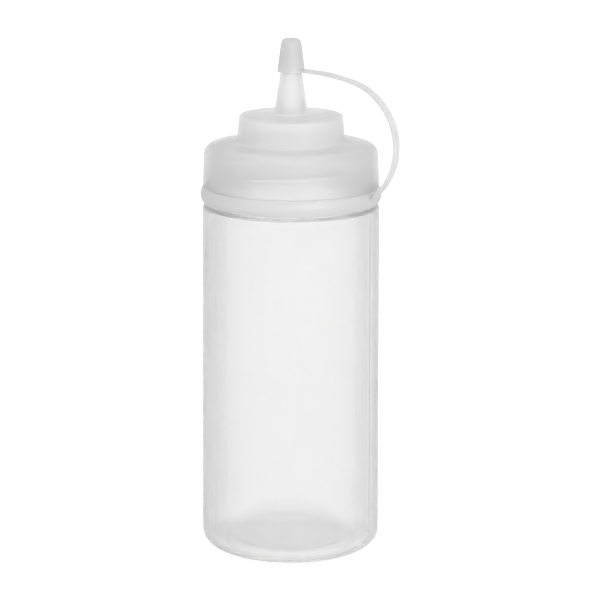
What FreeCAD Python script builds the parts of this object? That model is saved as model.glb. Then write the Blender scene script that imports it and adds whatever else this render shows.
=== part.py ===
"""A squeeze bottle of natural polyethylene, made of three mouldings.

bottle      blow-moulded wide-mouth bottle: a shell with a pushed-up base and a threaded neck
screw_cap   skirt with an inside thread, a raised step and a hollow nozzle, in one piece
tip_cap     the small cap over the nozzle's tip, its strap, and the ring that the strap hangs from

Millimetres. +Z is up along the bottle's axis, the origin is at the middle of the foot,
and the strap lies in the XZ plane on the +X side.
"""
import FreeCAD
import Part
import Sketcher
import math
import os
import re

Vector = FreeCAD.Vector

doc = FreeCAD.newDocument("squeeze_bottle")

# ---------------------------------------------------------------- sizes

sheet = doc.addObject("Spreadsheet::Sheet", "Sizes")

SIZES = [
    # bottle
    ("body_radius", 35.0),          # outside, at the foot
    ("body_draft", 0.8),            # how far the body leans in over its height
    ("body_height", 135.8),         # foot to shoulder
    ("wall", 1.0),
    ("foot_corner", 5.0),
    ("foot_width", 4.0),            # the flat ring that the bottle stands on
    ("push_up_height", 2.4),
    ("push_up_slope", 2.6),         # how far in the push-up's side leans
    ("shoulder_corner", 1.3),
    ("neck_inset", 3.6),            # the shoulder's edge to the neck
    ("neck_wall", 1.3),
    ("neck_height", 21.8),
    ("rim_corner", 0.5),
    # thread, shared by the neck and the cap
    ("thread_pitch", 6.0),
    ("thread_turns", 1.5),
    ("thread_depth", 0.9),
    ("thread_root", 2.2),           # width of the ridge where it stands on the wall
    ("thread_crest", 1.0),
    ("thread_start", 8.6),          # the shoulder to the middle of the neck's first ridge
    ("thread_clearance", 0.6),      # a crest to the wall that it runs along
    # screw cap
    ("cap_gap", 0.8),               # the shoulder to the skirt's lower edge
    ("seal_gap", 0.2),              # the neck's rim to the underside of the cap
    ("skirt_wall", 2.0),
    ("skirt_draft", 0.7),           # how far the skirt leans in over its height
    ("cap_wall", 1.6),
    ("cap_corner", 4.1),
    ("cap_rise", 0.6),              # the cap's top climbs this much towards the step
    ("step_height", 10.9),
    ("step_radius", 20.9),
    ("step_draft", 1.0),
    ("step_corner", 1.3),
    ("step_wall", 1.4),
    ("root_fillet", 0.8),           # where the step and the nozzle stand on the cap
    ("nozzle_radius", 6.5),
    ("nozzle_tip_radius", 2.4),
    ("nozzle_height", 27.4),
    ("nozzle_wall", 1.1),
    ("outlet_radius", 1.4),
    ("tip_corner", 0.4),
    # tip cap, strap and ring
    ("tip_clearance", 0.15),        # the nozzle to the inside of the tip cap
    ("tip_wall", 1.1),
    ("tip_top_wall", 1.6),
    ("tip_overlap", 11.1),          # how far the tip cap reaches down the nozzle
    ("tip_round", 2.2),
    ("strap_width", 4.2),
    ("strap_thickness", 1.15),
    ("strap_edge", 0.35),
    ("strap_reach", 9.6),           # how far the strap stands out past the ring
    ("strap_fullness", 0.5244),     # radius of the strap's outer bend, as a share of its rise
    ("ring_seat", 0.5),             # the skirt's lower edge to the ring
    ("ring_height", 6.0),
    ("ring_groove", 0.8),           # how deep the ring sits in the skirt
    ("ring_bulge", 0.9),            # how far the ring stands out of the skirt
    ("ring_clearance", 0.1),
    ("ring_lip", 0.3),              # how far the skirt's lip stands out under the ring
]

# Places and fits that follow from the sizes above.
DERIVED = [
    ("shoulder_radius", "body_radius - body_draft"),
    ("neck_radius", "shoulder_radius - neck_inset"),
    ("foot_inner", "body_radius - foot_corner - foot_width"),
    ("push_up_radius", "foot_inner - push_up_slope"),
    ("inner_body_radius", "body_radius - wall"),
    ("inner_shoulder_radius", "shoulder_radius - wall"),
    ("inner_foot_corner", "foot_corner - wall"),
    ("inner_push_up", "push_up_height + wall"),
    ("inner_shoulder", "body_height - wall"),
    ("neck_bore", "neck_radius - neck_wall"),
    ("neck_top", "body_height + neck_height"),
    ("thread_base", "body_height + thread_start"),
    ("thread_height", "thread_pitch * thread_turns"),
    ("skirt_bore", "neck_radius + thread_depth + thread_clearance"),
    ("skirt_radius", "skirt_bore + skirt_wall"),
    ("skirt_top_radius", "skirt_radius - skirt_draft"),
    ("skirt_foot", "body_height + cap_gap"),
    ("cap_underside", "neck_top + seal_gap"),
    ("cap_shoulder", "cap_underside + cap_wall"),
    ("cap_top", "cap_shoulder + cap_rise"),
    ("step_top", "cap_top + step_height"),
    ("step_top_radius", "step_radius - step_draft"),
    ("step_bore", "step_radius - step_wall"),
    ("step_top_bore", "step_top_radius - step_wall"),
    ("step_ceiling", "step_top - step_wall"),
    ("nozzle_bore", "nozzle_radius - nozzle_wall"),
    ("nozzle_top", "step_top + nozzle_height"),
    ("nozzle_taper", "(nozzle_radius - nozzle_tip_radius) / nozzle_height"),
    ("tip_foot", "nozzle_top - tip_overlap"),
    ("tip_bore_top", "nozzle_top + tip_clearance"),
    ("tip_top", "tip_bore_top + tip_top_wall"),
    ("tip_bore", "nozzle_tip_radius + nozzle_taper * tip_overlap + tip_clearance"),
    ("tip_bore_end", "nozzle_tip_radius + tip_clearance"),
    ("tip_radius", "tip_bore + tip_wall"),
    ("tip_top_radius", "tip_bore_end + tip_wall"),
    ("ring_bottom", "skirt_foot + ring_seat"),
    ("ring_top", "ring_bottom + ring_height"),
    ("groove_top", "ring_top + ring_clearance"),
    ("ring_middle", "ring_bottom + ring_height / 2"),
    ("groove_radius", "skirt_radius - ring_groove"),
    ("lip_radius", "groove_radius + ring_lip"),
    ("ring_bore", "groove_radius + ring_clearance"),
    ("ring_crown", "(ring_height * ring_height / 4 + ring_bulge * ring_bulge) / (2 * ring_bulge)"),
    ("ring_crown_middle", "skirt_radius + ring_bulge - ring_crown"),
    ("strap_start", "tip_radius - tip_wall / 2"),
    ("strap_low", "tip_foot"),
    ("strap_high", "tip_foot + strap_thickness"),
    ("strap_level", "tip_foot + strap_thickness / 2"),
    ("strap_end", "(ring_bore + skirt_radius) / 2"),
    ("strap_bend", "strap_fullness * (strap_level - ring_middle)"),
    ("strap_bend_middle", "skirt_radius + ring_bulge + strap_reach - strap_bend"),
]

for row, (name, value) in enumerate(SIZES + DERIVED, start=1):
    sheet.set("A%d" % row, name)
    sheet.set("B%d" % row, "=" + value if isinstance(value, str) else str(value))
    sheet.setAlias("B%d" % row, name)
doc.recompute()


def bound(expression):
    """The expression with each of its names read from the sheet."""
    return re.sub(r"[a-z_]+", lambda name: "Sizes." + name.group(), expression)


def size(expression):
    """The value that the expression has now."""
    return float(sheet.evalExpression(bound(expression)))


# ---------------------------------------------------------------- drawing helpers

ROOT = (-1, 1)      # the sketch's origin, and its two axes
X_AXIS = -1
Y_AXIS = -2
START = 1
END = 2
CENTRE = 3


def add_body(name):
    body = doc.addObject("PartDesign::Body", name)
    body.Label = name
    return body


def add_sketch(body, name, plane="XZ_Plane"):
    """A sketch on one of its body's origin planes."""
    sketch = body.newObject("Sketcher::SketchObject", name)
    face = next(f for f in body.Origin.OriginFeatures if f.Role == plane)
    sketch.AttachmentSupport = [(face, "")]
    sketch.MapMode = "FlatFace"
    return sketch


def axis_of(body):
    return next(f for f in body.Origin.OriginFeatures if f.Role == "Z_Axis")


def constrain(sketch, kind, *where):
    sketch.addConstraint(Sketcher.Constraint(kind, *where))


def dimension(sketch, kind, where, expression):
    """A driving dimension that takes its value from the sheet."""
    index = sketch.addConstraint(Sketcher.Constraint(kind, *where, size(expression)))
    sketch.setExpression("Constraints[%d]" % index, bound(expression))


def place(sketch, geometry, point, x, y):
    """Hold a point at x, y from the origin; an x or y of None puts it on that axis."""
    if x is None:
        constrain(sketch, "PointOnObject", geometry, point, Y_AXIS)
    else:
        dimension(sketch, "DistanceX", (*ROOT, geometry, point), x)
    if y is None:
        constrain(sketch, "PointOnObject", geometry, point, X_AXIS)
    else:
        dimension(sketch, "DistanceY", (*ROOT, geometry, point), y)


def outline(sketch, corners):
    """A closed outline. A corner is (x, y) or, where it is rounded, (x, y, radius)."""
    spots = [Vector(size(c[0]) if c[0] else 0, size(c[1]) if c[1] else 0, 0) for c in corners]
    count = len(corners)
    ends = []
    for i, corner in enumerate(corners):
        back = (spots[i - 1] - spots[i]).normalize()
        ahead = (spots[(i + 1) % count] - spots[i]).normalize()
        cut = size(corner[2]) / math.tan(back.getAngle(ahead) / 2) if len(corner) == 3 else 0
        ends.append((spots[i] + back * cut, spots[i] + ahead * cut))
    sides = [
        sketch.addGeometry(Part.LineSegment(ends[i][1], ends[(i + 1) % count][0]))
        for i in range(count)
    ]
    for i, corner in enumerate(corners):
        before, after = sides[i - 1], sides[i]
        if len(corner) == 2:
            constrain(sketch, "Coincident", before, END, after, START)
            place(sketch, after, START, corner[0], corner[1])
            continue
        mark = sketch.addGeometry(Part.Point(spots[i]), True)
        place(sketch, mark, START, corner[0], corner[1])
        constrain(sketch, "PointOnObject", mark, START, before)
        constrain(sketch, "PointOnObject", mark, START, after)
        add_corner(sketch, before, after, spots[i], ends[i], corner[2])


def add_corner(sketch, before, after, spot, ends, radius):
    """The arc that rounds the corner at spot, tangent to the sides before and after it."""
    inward = ((ends[0] + ends[1]) * 0.5 - spot).normalize()
    reach = size(radius)
    half_width = (ends[1] - ends[0]).Length / 2
    to_chord = ((ends[0] + ends[1]) * 0.5 - spot).Length
    centre = spot + inward * (to_chord + math.sqrt(reach ** 2 - half_width ** 2))
    angles = [math.atan2(end.y - centre.y, end.x - centre.x) for end in ends]
    turns_left = (ends[0] - centre).cross(ends[1] - centre).z > 0
    first, last = (0, 1) if turns_left else (1, 0)
    circle = Part.Circle(centre, Vector(0, 0, 1), reach)
    arc = sketch.addGeometry(Part.ArcOfCircle(circle, angles[first], angles[last]))
    constrain(sketch, "Tangent", before, END, arc, START if turns_left else END)
    constrain(sketch, "Tangent", arc, END if turns_left else START, after, START)
    dimension(sketch, "Radius", (arc,), radius)


def revolve(body, name, sketch):
    turned = body.newObject("PartDesign::Revolution", name)
    turned.Profile = sketch
    turned.ReferenceAxis = (axis_of(body), [""])
    turned.Angle = 360
    sketch.Visibility = False
    return turned


def add_thread(body, name, wall, crest, start):
    """A helical ridge from the radius wall to the radius crest."""
    ridge = add_sketch(body, name + "_profile")
    outline(ridge, [
        (wall, start + " - thread_root / 2"),
        (crest, start + " - thread_crest / 2"),
        (crest, start + " + thread_crest / 2"),
        (wall, start + " + thread_root / 2"),
    ])
    thread = body.newObject("PartDesign::AdditiveHelix", name)
    thread.Profile = ridge
    thread.ReferenceAxis = (axis_of(body), [""])
    thread.Mode = "pitch-turns-angle"
    thread.setExpression("Pitch", "Sizes.thread_pitch")
    thread.setExpression("Turns", "Sizes.thread_turns")
    thread.Angle = 0
    ridge.Visibility = False
    return thread


# ---------------------------------------------------------------- the pieces

def make_bottle():
    body = add_body("bottle")
    shell = add_sketch(body, "bottle_shell_profile")
    outline(shell, [
        (None, "push_up_height"),
        ("push_up_radius", "push_up_height"),
        ("foot_inner", None),
        ("body_radius", None, "foot_corner"),
        ("shoulder_radius", "body_height", "shoulder_corner"),
        ("neck_radius", "body_height"),
        ("neck_radius", "neck_top", "rim_corner"),
        ("neck_bore", "neck_top", "rim_corner"),
        ("neck_bore", "inner_shoulder"),
        ("inner_shoulder_radius", "inner_shoulder"),
        ("inner_body_radius", "wall", "inner_foot_corner"),
        ("foot_inner", "wall"),
        ("push_up_radius", "inner_push_up"),
        (None, "inner_push_up"),
    ])
    revolve(body, "bottle_shell", shell)
    add_thread(body, "neck_thread", "neck_radius - wall / 2", "neck_radius + thread_depth",
               "thread_base")
    return body


def make_screw_cap():
    body = add_body("screw_cap")
    shell = add_sketch(body, "cap_profile")
    outline(shell, [
        ("skirt_bore", "skirt_foot"),
        ("lip_radius", "skirt_foot"),
        ("lip_radius", "ring_bottom"),
        ("groove_radius", "ring_bottom"),
        ("groove_radius", "groove_top"),
        ("skirt_radius", "groove_top"),
        ("skirt_top_radius", "cap_shoulder", "cap_corner"),
        ("step_radius", "cap_top", "root_fillet"),
        ("step_top_radius", "step_top", "step_corner"),
        ("nozzle_radius", "step_top", "root_fillet"),
        ("nozzle_tip_radius", "nozzle_top", "tip_corner"),
        ("outlet_radius", "nozzle_top"),
        ("nozzle_bore", "step_ceiling"),
        ("step_top_bore", "step_ceiling"),
        ("step_bore", "cap_underside"),
        ("skirt_bore", "cap_underside"),
    ])
    revolve(body, "cap_shell", shell)
    add_thread(body, "cap_thread", "skirt_bore + wall / 2", "skirt_bore - thread_depth",
               "thread_base + thread_pitch / 2")
    return body


def make_tip_cap():
    body = add_body("tip_cap")
    add_ring(body)
    add_strap(body)
    cup = add_sketch(body, "tip_profile")
    outline(cup, [
        (None, "tip_bore_top"),
        ("tip_bore_end", "tip_bore_top"),
        ("tip_bore", "tip_foot"),
        ("tip_radius", "tip_foot"),
        ("tip_top_radius", "tip_top", "tip_round"),
        (None, "tip_top"),
    ])
    revolve(body, "tip", cup)
    return body


def add_ring(body):
    """The ring that the strap hangs from: flush with the skirt at its edges, and crowned."""
    ring = add_sketch(body, "ring_profile")
    low = Vector(size("ring_bore"), size("ring_bottom"), 0)
    high = Vector(size("ring_bore"), size("ring_top"), 0)
    edge = Vector(size("skirt_radius") - low.x, 0, 0)
    middle = Vector(size("ring_crown_middle"), size("ring_middle"), 0)
    lean = math.asin(size("ring_height") / 2 / size("ring_crown"))
    circle = Part.Circle(middle, Vector(0, 0, 1), size("ring_crown"))
    inside = ring.addGeometry(Part.LineSegment(high, low))
    bottom = ring.addGeometry(Part.LineSegment(low, low + edge))
    crown = ring.addGeometry(Part.ArcOfCircle(circle, -lean, lean))
    top = ring.addGeometry(Part.LineSegment(high + edge, high))
    constrain(ring, "Coincident", inside, END, bottom, START)
    constrain(ring, "Coincident", bottom, END, crown, START)
    constrain(ring, "Coincident", crown, END, top, START)
    constrain(ring, "Coincident", top, END, inside, START)
    constrain(ring, "Horizontal", bottom)
    constrain(ring, "Horizontal", top)
    place(ring, inside, START, "ring_bore", "ring_top")
    place(ring, inside, END, "ring_bore", "ring_bottom")
    place(ring, crown, CENTRE, "ring_crown_middle", "ring_middle")
    dimension(ring, "Radius", (crown,), "ring_crown")
    revolve(body, "ring", ring)


def add_strap(body):
    """A flat strap swept along two arcs: level off the tip cap, over, and back into the ring."""
    route = add_sketch(body, "strap_route")
    bend = size("strap_bend")
    start = Vector(size("strap_start"), size("strap_level"), 0)
    end = Vector(size("strap_end"), size("ring_middle"), 0)
    middle = Vector(size("strap_bend_middle"), 0, 0)
    middle.y = end.y + math.sqrt(bend ** 2 - (end.x - middle.x) ** 2)
    across = middle - start
    sweep = (bend ** 2 - across.Length ** 2) / (2 * (across.y + bend))
    far_middle = start - Vector(0, sweep, 0)
    join = (middle - far_middle).normalize()
    join_angle = math.atan2(join.y, join.x)
    end_angle = math.atan2(end.y - middle.y, end.x - middle.x)
    over_circle = Part.Circle(far_middle, Vector(0, 0, 1), sweep)
    back_circle = Part.Circle(middle, Vector(0, 0, 1), bend)
    over = route.addGeometry(Part.ArcOfCircle(over_circle, join_angle, math.pi / 2))
    back = route.addGeometry(Part.ArcOfCircle(back_circle, end_angle, join_angle))
    place(route, over, END, "strap_start", "strap_level")
    place(route, back, START, "strap_end", "ring_middle")
    constrain(route, "Vertical", over, CENTRE, over, END)
    constrain(route, "Tangent", over, START, back, END)
    dimension(route, "Radius", (back,), "strap_bend")
    dimension(route, "DistanceX", (*ROOT, back, CENTRE), "strap_bend_middle")

    section = add_sketch(body, "strap_section", "YZ_Plane")
    section.setExpression("AttachmentOffset.Base.z", "Sizes.strap_start")
    half = "strap_width / 2"
    outline(section, [
        ("-" + half, "strap_low", "strap_edge"),
        (half, "strap_low", "strap_edge"),
        (half, "strap_high", "strap_edge"),
        ("-" + half, "strap_high", "strap_edge"),
    ])
    strap = body.newObject("PartDesign::AdditivePipe", "strap")
    strap.Profile = section
    strap.Spine = (route, ["Edge1", "Edge2"])
    route.Visibility = False
    section.Visibility = False


pieces = [make_bottle(), make_screw_cap(), make_tip_cap()]
doc.recompute()

# ---------------------------------------------------------------- checks and files

for item in doc.Objects:
    if "Invalid" in item.State or "Error" in item.State:
        raise RuntimeError(item.Label + " didn't recompute")

os.makedirs("parts", exist_ok=True)
for piece in pieces:
    shape = piece.Shape
    if shape.isNull() or not shape.isValid() or len(shape.Solids) != 1:
        raise RuntimeError(piece.Label + " isn't one valid solid")
    shape.exportStep("parts/" + piece.Label + ".step")
    print(piece.Label, round(shape.Volume, 1), shape.BoundBox)
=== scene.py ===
"""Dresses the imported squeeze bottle: natural polyethylene, a pale studio and the camera. Metres."""
import bpy
import math
from mathutils import Matrix, Vector


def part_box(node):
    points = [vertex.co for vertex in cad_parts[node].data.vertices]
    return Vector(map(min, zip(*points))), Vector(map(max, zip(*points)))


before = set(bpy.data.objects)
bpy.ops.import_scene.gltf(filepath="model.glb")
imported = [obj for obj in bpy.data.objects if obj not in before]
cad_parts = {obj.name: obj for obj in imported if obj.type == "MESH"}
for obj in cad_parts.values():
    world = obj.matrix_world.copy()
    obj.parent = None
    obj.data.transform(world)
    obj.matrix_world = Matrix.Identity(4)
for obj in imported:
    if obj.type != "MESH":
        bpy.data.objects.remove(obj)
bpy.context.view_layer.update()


# ---------------------------------------------------------------- node helpers

def new_material(name):
    """A material, its node tree and its Principled shader."""
    material = bpy.data.materials.new(name)
    material.use_nodes = True
    return material, material.node_tree, material.node_tree.nodes["Principled BSDF"]


def object_coords(tree):
    """The object's own coordinates."""
    return tree.nodes.new("ShaderNodeTexCoord").outputs["Object"]


def height_in(tree, coords):
    """The height of a set of coordinates."""
    split = tree.nodes.new("ShaderNodeSeparateXYZ")
    tree.links.new(coords, split.inputs["Vector"])
    return split.outputs["Z"]


def vector_math(tree, operation, vector):
    """A vector node of this operation, fed with a vector."""
    node = tree.nodes.new("ShaderNodeVectorMath")
    node.operation = operation
    tree.links.new(vector, node.inputs[0])
    return node


def noise(tree, scale, detail):
    """Noise in the object's own metres."""
    texture = tree.nodes.new("ShaderNodeTexNoise")
    texture.inputs["Scale"].default_value = scale
    texture.inputs["Detail"].default_value = detail
    tree.links.new(object_coords(tree), texture.inputs["Vector"])
    return texture.outputs["Fac"]


def spread(tree, value, low, high, socket, start=0.0, end=1.0):
    """Feeds a socket with low to high as the value goes from start to end."""
    node = tree.nodes.new("ShaderNodeMapRange")
    node.inputs["From Min"].default_value = start
    node.inputs["From Max"].default_value = end
    node.inputs["To Min"].default_value = low
    node.inputs["To Max"].default_value = high
    tree.links.new(value, node.inputs["Value"])
    tree.links.new(node.outputs["Result"], socket)
    return node


def ray_is(tree, *kinds):
    """1 for a ray of one of these kinds."""
    path = tree.nodes.new("ShaderNodeLightPath")
    total = path.outputs[kinds[0]]
    for kind in kinds[1:]:
        add = tree.nodes.new("ShaderNodeMath")
        add.operation = "MAXIMUM"
        tree.links.new(total, add.inputs[0])
        tree.links.new(path.outputs[kind], add.inputs[1])
        total = add.outputs["Value"]
    return total


# ---------------------------------------------------------------- plastic

NOISE_SPAN = (0.3, 0.7)             # nearly all of the noise lies between these
CLOUD_SCALE, CLOUD_DETAIL = 25, 3   # soft unevenness of the tone
CLOUD_DEPTH = 0.015
GRAIN_SCALE, GRAIN_DETAIL = 60, 3   # unevenness of the gloss
GRAIN_DEPTH = 0.02
RIPPLE_SCALE, RIPPLE_DETAIL = 450, 2
RIPPLE_STRENGTH = 0.03
RIPPLE_HEIGHT = 0.0004

SKIN_IOR = 1.03
SKIN_ROUGHNESS = 0.3
ABSORPTION_GREY = 0.5

TONE_EDGE = 0.002                   # over this length one tone turns into the next
SHOULDER_DROP = 0.0011              # the skirt's lower edge to just under the bottle's shoulder
CAP_ROOF = 0.0024                   # the neck's rim to the cap's top, where the step stands
BASE_SHADE_RADIUS = 0.024                 # the push-up in the middle of the base, painted darker as shade
# painted shade: the tone of the disc in the middle of the base
BASE_SHADE_TONE = 0.88

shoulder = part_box("screw_cap")[0][2] - SHOULDER_DROP
step_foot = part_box("bottle")[1][2] + CAP_ROOF


def set_tone_and_painted_shade(tree, shader, height, lower, upper):
    """A clouded grey that goes from lower to upper at a height; the step at that height is painted
    shade.
    """
    tone = tree.nodes.new("ShaderNodeMath")
    tone.operation = "ADD"
    here = height_in(tree, object_coords(tree))
    # painted shade: one side of this height is a darker copy of the same plastic
    spread(tree, here, lower, upper, tone.inputs[0], height, height + TONE_EDGE)
    cloud = noise(tree, CLOUD_SCALE, CLOUD_DETAIL)
    spread(tree, cloud, -CLOUD_DEPTH, 0.0, tone.inputs[1], *NOISE_SPAN)
    tree.links.new(tone.outputs["Value"], shader.inputs["Base Color"])


def set_skin(shader, tint):
    """A thin tinted skin, which darkens the rims, where it is seen at a slant."""
    shader.inputs["Coat Weight"].default_value = 1.0
    shader.inputs["Coat IOR"].default_value = SKIN_IOR
    shader.inputs["Coat Roughness"].default_value = SKIN_ROUGHNESS
    shader.inputs["Coat Tint"].default_value = (tint, tint, tint, 1)


def set_surface(tree, shader, roughness):
    """An uneven gloss and a faint ripple."""
    grain = noise(tree, GRAIN_SCALE, GRAIN_DETAIL)
    low, high = roughness - GRAIN_DEPTH, roughness + GRAIN_DEPTH
    spread(tree, grain, low, high, shader.inputs["Roughness"], *NOISE_SPAN)
    ripple = tree.nodes.new("ShaderNodeBump")
    ripple.inputs["Strength"].default_value = RIPPLE_STRENGTH
    ripple.inputs["Distance"].default_value = RIPPLE_HEIGHT
    tree.links.new(noise(tree, RIPPLE_SCALE, RIPPLE_DETAIL), ripple.inputs["Height"])
    tree.links.new(ripple.outputs["Normal"], shader.inputs["Normal"])


def set_absorption(tree, density):
    """Some light is lost inside the walls."""
    absorption = tree.nodes.new("ShaderNodeVolumeAbsorption")
    absorption.inputs["Color"].default_value = (ABSORPTION_GREY, ABSORPTION_GREY, ABSORPTION_GREY, 1)
    absorption.inputs["Density"].default_value = density
    tree.links.new(absorption.outputs["Volume"], tree.nodes["Material Output"].inputs["Volume"])


def polyethylene(name, ior, milk, clear, roughness, density, skin, painted_shade_tones):
    """Natural polyethylene: clear passes straight through, milk scatters, the rest bends and blurs."""
    material, tree, shader = new_material(name)
    shader.inputs["IOR"].default_value = ior
    shader.inputs["Transmission Weight"].default_value = 1 - milk
    shader.inputs["Alpha"].default_value = 1 - clear
    set_tone_and_painted_shade(tree, shader, *painted_shade_tones)
    set_skin(shader, skin)
    set_surface(tree, shader, roughness)
    set_absorption(tree, density)
    return material


def paint_base_shade(material):
    """Paints a darker disc in the middle of the base: painted shade, where the floor under the push-up
    lies in shadow.
    """
    tree = material.node_tree
    colour = tree.nodes["Principled BSDF"].inputs["Base Color"]
    tone = colour.links[0].from_socket
    flat = vector_math(tree, "MULTIPLY", object_coords(tree))
    flat.inputs[1].default_value = (1, 1, 0)
    radius = vector_math(tree, "LENGTH", flat.outputs["Vector"]).outputs["Value"]
    # painted shade: darker inside the disc, the plastic's own tone outside it
    shade_disc = spread(tree, radius, BASE_SHADE_TONE, 1.0, colour, BASE_SHADE_RADIUS, BASE_SHADE_RADIUS + TONE_EDGE)
    tree.links.new(tone, shade_disc.inputs["To Max"])


def dress(node, material):
    """Gives a CAD node its material."""
    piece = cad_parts[node]
    piece.data.materials.clear()
    piece.data.materials.append(material)


# painted shade tones: the height where the tone changes, the tone below it and the tone above it; the
# darker of the two is painted shade
# painted shade: the bottle's body below the shoulder is darker than its neck
bottle_plastic = polyethylene(
    "bottle_polyethylene", ior=1.27, milk=0.12, clear=0.21, roughness=0.25, density=10,
    skin=0.991, painted_shade_tones=(shoulder, 0.975, 1.0))
# painted shade: a darker disc in the middle of the base
paint_base_shade(bottle_plastic)
# painted shade: the cap's and the tip cap's step and nozzle are darker than the parts below them
cap_plastic = polyethylene(
    "cap_polyethylene", ior=1.42, milk=0.34, clear=0.48, roughness=0.30, density=8,
    skin=0.972, painted_shade_tones=(step_foot, 1.0, 0.945))
tip_plastic = polyethylene(
    "tip_polyethylene", ior=1.50, milk=0.45, clear=0.15, roughness=0.35, density=80,
    skin=0.985, painted_shade_tones=(step_foot, 0.99, 0.955))

dress("bottle", bottle_plastic)
dress("screw_cap", cap_plastic)
dress("tip_cap", tip_plastic)


# ---------------------------------------------------------------- studio

HORIZON_LIGHT = 1.15
ZENITH_LIGHT = 0.8
WHITE = (1, 1, 1, 1)

FLOOR_SIZE = 12
FLOOR_COLOUR = 0.85                 # where it lights the bottle
FLOOR_SHADE = 0.5                   # where the camera sees it, and where the shadow shows
FLOOR_GLOW = 0.65                   # brings the floor that the camera sees up to white

LAMP_TARGET = (0, 0, 0.1)
LAMPS = (                           # name, place, side, watts
    ("key", (1.2, -0.9, 0.4), 1.0, 7),
    ("fill", (-0.6, -1.3, 1.0), 1.2, 1),
)


def make_world():
    """White where it is seen, also in and through the plastic, and a plain level where it lights."""
    world = bpy.data.worlds.new("studio")
    world.use_nodes = True
    tree = world.node_tree
    background = tree.nodes["Background"]
    background.inputs["Color"].default_value = WHITE
    seen = ray_is(tree, "Is Camera Ray", "Is Glossy Ray", "Is Transmission Ray")
    level = spread(tree, seen, 0.0, 1.0, background.inputs["Strength"])
    direction = tree.nodes.new("ShaderNodeTexCoord").outputs["Generated"]
    spread(tree, height_in(tree, direction), HORIZON_LIGHT, ZENITH_LIGHT, level.inputs["To Min"])
    bpy.context.scene.world = world


def make_floor():
    """A pale floor that keeps the bottle's shadow and shows white in and through the plastic."""
    bpy.ops.mesh.primitive_plane_add(size=FLOOR_SIZE, location=(0, 0, 0))
    floor = bpy.context.object
    floor.name = "floor"
    material, tree, paper = new_material("floor_paper")
    paper.inputs["Roughness"].default_value = 1.0
    paper.inputs["Specular IOR Level"].default_value = 0.0
    paper.inputs["Emission Color"].default_value = WHITE
    camera = ray_is(tree, "Is Camera Ray")
    spread(tree, camera, FLOOR_COLOUR, FLOOR_SHADE, paper.inputs["Base Color"])
    spread(tree, camera, 0.0, FLOOR_GLOW, paper.inputs["Emission Strength"])
    white = tree.nodes.new("ShaderNodeEmission")
    mix = tree.nodes.new("ShaderNodeMixShader")
    tree.links.new(ray_is(tree, "Is Glossy Ray", "Is Transmission Ray"), mix.inputs["Fac"])
    tree.links.new(paper.outputs["BSDF"], mix.inputs[1])
    tree.links.new(white.outputs["Emission"], mix.inputs[2])
    tree.links.new(mix.outputs["Shader"], tree.nodes["Material Output"].inputs["Surface"])
    floor.data.materials.append(material)


def softbox(name, place, side, watts):
    """A square lamp that looks at the middle of the bottle."""
    lamp = bpy.data.lights.new(name, "AREA")
    lamp.shape = "SQUARE"
    lamp.size = side
    lamp.energy = watts
    holder = bpy.data.objects.new(name, lamp)
    holder.location = place
    to_bottle = Vector(LAMP_TARGET) - holder.location
    holder.rotation_euler = to_bottle.to_track_quat("-Z", "Y").to_euler()
    bpy.context.collection.objects.link(holder)


make_world()
make_floor()
for lamp_values in LAMPS:
    softbox(*lamp_values)


# ---------------------------------------------------------------- camera

VIEW_AZIMUTH = math.radians(27)
VIEW_ELEVATION = math.radians(13)
VIEW_DISTANCE = 0.9
VIEW_ROLL = math.radians(0.155)
TARGET_HEIGHT = 0.0975
TARGET_ASIDE = 0.0036
LENS = 137.9                        # millimetres, like the sensor
SENSOR = 36


def make_camera():
    """The camera looks along the view's azimuth, with the bottle's axis a little left of the middle."""
    right = Vector((math.cos(VIEW_AZIMUTH), math.sin(VIEW_AZIMUTH), 0))
    away = Vector((-math.sin(VIEW_AZIMUTH), math.cos(VIEW_AZIMUTH), 0))
    back = -away * math.cos(VIEW_ELEVATION) + Vector((0, 0, math.sin(VIEW_ELEVATION)))
    up = back.cross(right)
    target = right * TARGET_ASIDE + Vector((0, 0, TARGET_HEIGHT))
    data = bpy.data.cameras.new("camera")
    data.sensor_width = SENSOR
    data.lens = LENS
    camera = bpy.data.objects.new("camera", data)
    place = Matrix.Translation(target + back * VIEW_DISTANCE)
    turn = Matrix((right, up, back)).transposed().to_4x4()
    camera.matrix_world = place @ turn @ Matrix.Rotation(VIEW_ROLL, 4, "Z")
    bpy.context.collection.objects.link(camera)
    bpy.context.scene.camera = camera


make_camera()
bpy.context.scene.view_settings.view_transform = "Standard"
